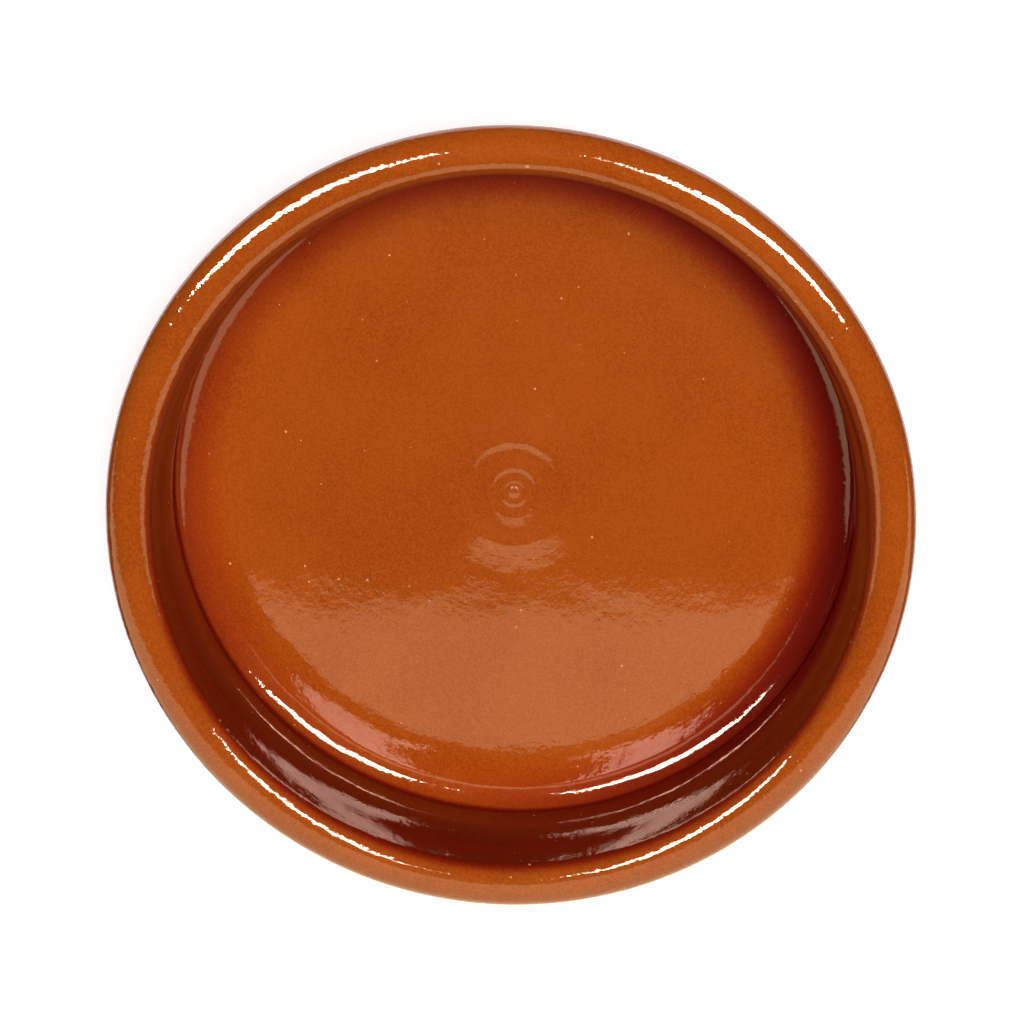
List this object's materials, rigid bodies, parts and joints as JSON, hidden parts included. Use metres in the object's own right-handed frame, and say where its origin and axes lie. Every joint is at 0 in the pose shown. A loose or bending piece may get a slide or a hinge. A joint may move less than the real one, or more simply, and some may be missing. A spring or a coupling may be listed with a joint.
{
  "type": "cazuela",
  "caption": "Round shallow glazed earthenware dish with a thick rounded rim, steep walls and a flat floor, for cooking and serving.",
  "frame": {"origin": "centre of the flat base, on the surface that the dish stands on", "axes": "+Z is the turning axis and points up out of the open mouth; X and Y lie in the base, and the dish is the same all round"},
  "size_m": [0.2, 0.2, 0.0495],
  "materials": {
    "glazed_earthenware": "clear honey-brown gloss glaze over red earthenware, bare matt clay on the lower outside and the base"
  },
  "bodies": {
    "root": {"dish": "glazed_earthenware"}
  },
  "joints": []
}
